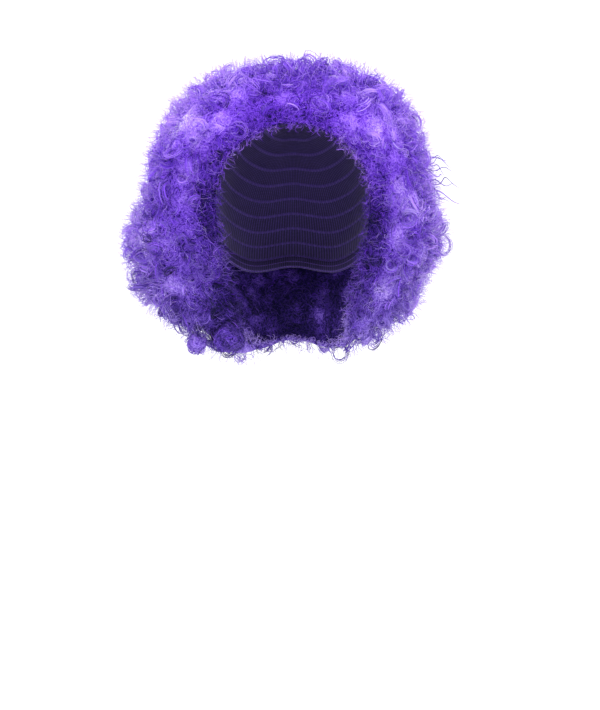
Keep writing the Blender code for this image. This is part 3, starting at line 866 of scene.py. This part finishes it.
# Frizz, halo and the hair inside: path = root + out * rise * s^0.6 + along * length * s + a wave round the
# path. Which way it leans changes slowly over the hair, by the clouds' waves, so that neighbours lie together
def looseFibres(part, budget, look, lighter, surface="outer"):
    n = fibreCount(look, budget)
    roots = rootsOn(part, n, surface)
    if surface == "inner":
        keep = belowCap(roots[0])
        roots, n = [x[keep] for x in roots], int(keep.sum())
    place, out, down, toEdge, rise, tuft = roots
    lean = np.sin(place @ cloudWaves[::-1].T * flow["waves"] + cloudPhases).sum(-1, keepdims=True)
    along = alongHair(out, down, lean * look["flow"] + rng.normal(0, flow["spread"], (n, 1)))
    s = alongFibre(look)
    small = shrink(look, toEdge)
    wave, angle = waveAlong(look, n, s)
    e, f = squareTo(unit(out + along), rng.normal(size=(n, 3)))
    lift = between(look["rise"], (n, 1)) * small * s ** 0.6 - look["sink"]
    length = between(look["length"], (n, 1)) * small * s
    path = (place[:, None] + out[:, None] * lift[..., None] + along[:, None] * length[..., None]
            + turned(e[:, None], f[:, None], wave, angle))
    tone = toneAt(place, toEdge, rise, tuft) + lighter + rng.normal(0, tones["curl"], n)
    return fibresAlong(look, path, out[:, None], tone, dustyAt(place))


# Hairs along the edge. Path = root + (down + out * tilt) * length * s + a wave round the path
def rimHairs(part, name):
    look = rim
    n = look["fibres"][name]
    grid = part["outer"]
    i = rng.integers(0, len(grid) - 1, n)
    t = rng.random((n, 1))
    edge = [(1 - t) * g[i, -1] + t * g[i + 1, -1] for g in (grid, part["inner"])]
    depth = rng.random((n, 1))
    root = edge[0] * depth + edge[1] * (1 - depth)
    down = unit(grid[i, -1] - grid[i, -3] + rng.normal(0, look["stray"], (n, 3)))
    out = unit(edge[0] - edge[1])
    face = np.clip((root[:, 2:] - look["faceHeight"]) / look["faceBlend"], 0, 1)
    face = face * (root[:, 1:2] < look["faceBack"])
    length = between(look["faceLength"], (n, 1)) * face + between(look["lowLength"], (n, 1)) * (1 - face)
    along = unit(down + out * (between(look["out"], (n, 1)) + face * look["faceOut"]))
    s = alongFibre(look)
    e, f = squareTo(along, rng.normal(size=(n, 3)))
    wave, angle = waveAlong(look, n, s)
    path = (root[:, None] + along[:, None] * (length * s - look["sink"] * (1 - s))[..., None]
            + turned(e[:, None], f[:, None], wave, angle))
    d = unit(root - middle)
    # the painted light and shade of the places, and part of the painted shadow along the edge
    tone = tones["middle"] + tones["rim"] + spreadOut(d, lightAndShadePlaces)
    tone = tone * (1 - paintedEdgeShadow(d, np.zeros(n)) * look["edgeShadowShare"]) + rng.normal(0, tones["fibre"], n)
    return fibresAlong(look, path, out[:, None], tone, dustyAt(root))


# Locks wound round balls. Path = middle + axis * height + around * (cos(angle) * e + sin(angle) * f), where
# around = sqrt(reach^2 - height^2) * (1 + flare * s) + wobble, with one axis to a lock
def tuftFibres():
    look = lowTufts
    balls, each = len(look["reach"]), look["fibres"]
    locks = balls * look["locks"]
    n = locks * each
    which = np.repeat(np.arange(balls), look["locks"] * each)
    reach = look["reach"][which][:, None]
    axis = unit(rng.normal(size=(locks, 3)))
    e, f = squareTo(axis, rng.normal(size=(locks, 3)))
    axis, e, f = (np.repeat(x, each, 0)[:, None] for x in (axis, e, f))
    height = np.repeat(between(look["high"], (locks, 1)), each, 0) + between((-1, 1), (n, 1)) * look["band"]
    height = np.clip(height, -look["highest"], look["highest"])
    s = alongFibre(look)
    start = np.repeat(rng.uniform(0, turnRound, (locks, 1)), each, 0) + rng.normal(0, look["start"], (n, 1))
    angle = start + turnRound * between(look["turns"], (n, 1)) * s
    wobble = rng.normal(0, look["wobble"], (n, 1))
    wobble = wobble * np.sin(between(look["waves"], (n, 1)) * s + between((0, 6), (n, 1)))
    around = reach * np.sqrt(1 - height ** 2) * (1 + between(look["flare"], (n, 1)) * s) + wobble
    height = height + 0.5 * np.roll(wobble, 3, 1) / reach
    path = look["middles"][which][:, None] + axis * (reach * height)[..., None] + turned(e, f, around, angle)
    tone = look["tone"][which] + np.repeat(rng.normal(0, tones["curl"], locks), each)
    tone = tone + rng.normal(0, tones["fibre"] * look["fibreChange"], n)
    return fibresAlong(look, path, axis, tone, np.full(n, look["dusty"]))


# Long hairs. Path = root + out * length * s - droop * s^2 upright + a wave round the path
def longHairs():
    look = flyaways
    n = look["count"]
    s = alongFibre(look)
    d = fromAngles(np.radians(between(look["azimuth"], n)), np.radians(between(look["polar"], n)))
    out = unit(d + rng.normal(0, look["spread"], (n, 3)))
    place = middle + d * (tipRadius(d) - bed["depth"])[:, None]
    e, f = squareTo(out, rng.normal(size=(n, 3)))
    wave, angle = waveAlong(look, n, s)
    path = (place[:, None] + out[:, None] * (between(look["length"], (n, 1)) * s)[..., None]
            + turned(e[:, None], f[:, None], wave, angle))
    path[..., 2] -= look["droop"] * s ** 2
    tone, dusty = np.full(n, look["tone"]), np.full(n, look["dusty"])
    return fibreMesh(path, f[:, None], look["width"], look["thickness"], tone, dusty)


curlLook = curlMaterial()
for name, part in sections.items():
    budget = fibreTriangles[name]
    kinds = [ringletFibres(part, budget * ringlets["share"]),
             swirlFibres(part, budget * swirls["share"]),
             looseFibres(part, budget * frizz["share"], frizz, tones["frizz"]),
             looseFibres(part, budget * halo["share"], halo, tones["halo"])]
    if name in inside["triangles"]:
        # the hair inside is set darker, a painted shadow
        kinds.append(looseFibres(part, inside["triangles"][name], inside, tones["inside"], "inner"))
    if name in rim["fibres"]:
        kinds.append(rimHairs(part, name))
    if name == "leftSide":
        kinds.append(longHairs())
    if name == "rightSide":
        kinds.append(tuftFibres())
    starts = np.cumsum([0] + [len(k[0]) for k in kinds[:-1]])
    points = np.concatenate([k[0] for k in kinds])
    faces = np.concatenate([k[1] + start for k, start in zip(kinds, starts)])
    uv = np.concatenate([k[2] for k in kinds])
    piece = meshObject(name + "Curls", points, faces, curlLook, ("OFBake", uv))
    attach(piece, "root")
    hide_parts(part["node"])
    print(name, "curls:", len(faces), "triangles")

# Cap and edge band
cap = {
    "columns": 160, "rows": 56, "seams": 11, "seamHeight": 0.4 * mm, "seamStart": 0.88,
    "seamFrom": 0.08, "seamBefore": 0.03, "ribs": 240, "courses": 110, "stitches": 120, "height": 0.3 * mm,
    "gap": shown(22, 12, 52), "yarn": shown(66, 46, 124), "light": shown(92, 70, 158),
    "thread": shown(84, 60, 150),
}
elastic = {
    "columns": 240, "rows": 6, "cords": 4, "cordHeight": 0.12 * mm, "inset": 0.15 * mm,
    "ribs": 300, "courses": 8, "seams": 2, "seamStart": 0.9, "stitches": 220, "height": 0.25 * mm,
    "gap": shown(22, 16, 46), "yarn": shown(70, 54, 122), "light": shown(88, 70, 142),
    "thread": shown(126, 96, 200),
}
knitDepth = 0.6              # how much the rows of loops show in the ribs, and the stitches in their row
wornScale = 60.0
stitchHeight = 1.5           # as a share of the knit's


# The band starts its own width before the cap's edge
def bandShare(turn):
    edge = capDome.direction(turn, 0 * turn + 1)
    return 1 - form["bandWidth"] / (capDome.edgeSpread(turn) * headRadius(edge))


def capPoint(turn, share, lift):
    d = capDome.direction(turn, share)
    return middle + d * (headRadius(d) + lift)[..., None]


# The knit: fine ribs across rows of stitches, by sines of the cloth's own map, and rows of stitching
def clothMaterial(name, look, **constants):
    f = Finish(name, **constants)
    u, v = f.map(mapName)

    def wave(value, count):
        return (value * (turnRound * count) + np.pi / 2).apply("SINE") * 0.5 + 0.5

    knit = wave(u, look["ribs"]) * (wave(v, look["courses"]) * knitDepth + (1 - knitDepth))
    row = f.add("ShaderNodeMapRange", {"interpolation_type": "SMOOTHSTEP"},
                {0: wave(v, look["seams"]), 1: look["seamStart"], 2: 1.0, 3: 0.0, 4: 1.0})
    stitches = row * (wave(u, look["stitches"]) * knitDepth + (1 - knitDepth))
    worn = f.add("ShaderNodeTexNoise", None, {"Scale": wornScale, "Detail": 3.0}, 0)
    cloth = f.mix(knit, look["gap"], f.mix(worn, look["yarn"], look["light"]))
    f.feed("Base Color", f.mix(stitches, cloth, look["thread"]))
    f.bump(knit + stitches * stitchHeight, look["height"])
    return f.material


# The seams are ridges on the inside, from seamFrom of the way down to seamBefore the band
def makeCap():
    u, v = evenGrid(cap["columns"] + 1, cap["rows"])
    turn = turnRound * u
    outer = capPoint(turn, v, 0 * turn + capLift + form["capWall"])
    wave = np.cos(turnRound * v * cap["seams"]) * 0.5 + 0.5
    seam = np.clip((wave - cap["seamStart"]) / (1 - cap["seamStart"]), 0, 1)
    ridge = seam * (v < bandShare(turn) - cap["seamBefore"]) * (v > cap["seamFrom"])
    inner = capPoint(turn, v, capLift - cap["seamHeight"] * ridge)
    look = clothMaterial("stretchCap", cap, Roughness=0.85, Sheen_Weight=0.2)
    piece = shell("capShell", outer, inner, look, np.stack([u, v], -1), wrapped=True, pole=True)
    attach(piece, "root")
    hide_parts("wig_cap")


def makeBand():
    u, v = evenGrid(elastic["columns"] + 1, elastic["rows"])
    turn = turnRound * u
    start = bandShare(turn)
    share = start + (1 - start) * v
    cords = elastic["cordHeight"] * np.cos(turnRound * v * elastic["cords"])
    outer = capPoint(turn, share, 0 * turn + form["bandThickness"])
    inner = capPoint(turn, share, elastic["inset"] + cords)
    look = clothMaterial("elasticBand", elastic, Roughness=0.7)
    piece = shell("edgeElastic", outer, inner, look, np.stack([u, v], -1), wrapped=True)
    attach(piece, "root")
    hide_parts("edge_band")


makeCap()
makeBand()
print("cap and edge band made")

# Studio: the photograph's frame is 710 pixels tall at 0.86 mm a pixel, seen from about the height of the
# middle of the head
studio = {
    "distance": 1.5, "frameHeight": 710, "pixel": 0.86 * mm, "middleX": 0.006, "middleZ": -0.2296,
    "eyeZ": -0.12, "sensor": 36.0, "floor": -0.488, "floorRadius": 4.0, "floorSides": 96,
    "worldLight": 1.3, "lit": (0, 0, -0.1),
    # Name, place, size in metres and power in watts
    "lights": [("key", (-0.9, -1.3, 1.0), 0.9, 20), ("fill", (1.2, -1.2, 0.3), 1.2, 11),
               ("back", (0.5, 1.4, 1.0), 1.0, 8)],
}


def makeCamera():
    camera = bpy.data.objects.new("camera", bpy.data.cameras.new("camera"))
    bpy.context.scene.collection.objects.link(camera)
    tall = studio["frameHeight"] * studio["pixel"]
    eye = np.array([studio["middleX"], -studio["distance"], studio["eyeZ"]])
    aim = np.array([studio["middleX"], 0, studio["middleZ"]])
    away = aim - eye
    camera.location = eye
    camera.rotation_euler = (np.pi / 2 + np.arctan2(away[2], away[1]), 0, 0)
    camera.data.sensor_fit = "VERTICAL"
    camera.data.sensor_height = studio["sensor"]
    camera.data.lens = studio["sensor"] * np.linalg.norm(away) / tall
    bpy.context.scene.camera = camera


def areaLight(name, place, size, power):
    data = bpy.data.lights.new(name, "AREA")
    data.shape, data.size, data.energy = "DISK", size, power
    light = bpy.data.objects.new(name, data)
    bpy.context.scene.collection.objects.link(light)
    light.location = place
    away = np.array(studio["lit"]) - np.array(place)
    tilt = np.arccos(-away[2] / np.linalg.norm(away))
    light.rotation_euler = (tilt, 0, np.arctan2(away[1], away[0]) - np.pi / 2)


def makeStudio():
    radius, sides = studio["floorRadius"], studio["floorSides"]
    around = turnRound * np.arange(sides) / sides
    points = np.stack([radius * np.cos(around), radius * np.sin(around), 0 * around + studio["floor"]], -1)
    pale = Finish("paleFloor", Base_Color=(0.98, 0.98, 0.98, 1), Roughness=0.8).material
    meshObject("floor", points, np.arange(sides)[None], pale, smooth=False)
    world = bpy.context.scene.world or bpy.data.worlds.new("studio")
    bpy.context.scene.world = world
    world.use_nodes = True
    world.node_tree.nodes["Background"].inputs[0].default_value = (1, 1, 1, 1)
    world.node_tree.nodes["Background"].inputs[1].default_value = studio["worldLight"]
    for light in studio["lights"]:
        areaLight(*light)
    bpy.context.scene.view_settings.view_transform = "Standard"


makeCamera()
makeStudio()
others = {*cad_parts, "floor"}
added = [o for o in bpy.data.objects if o.type == "MESH" and o.name not in others]
print("triangles added:", sum(len(o.data.polygons) for o in added))
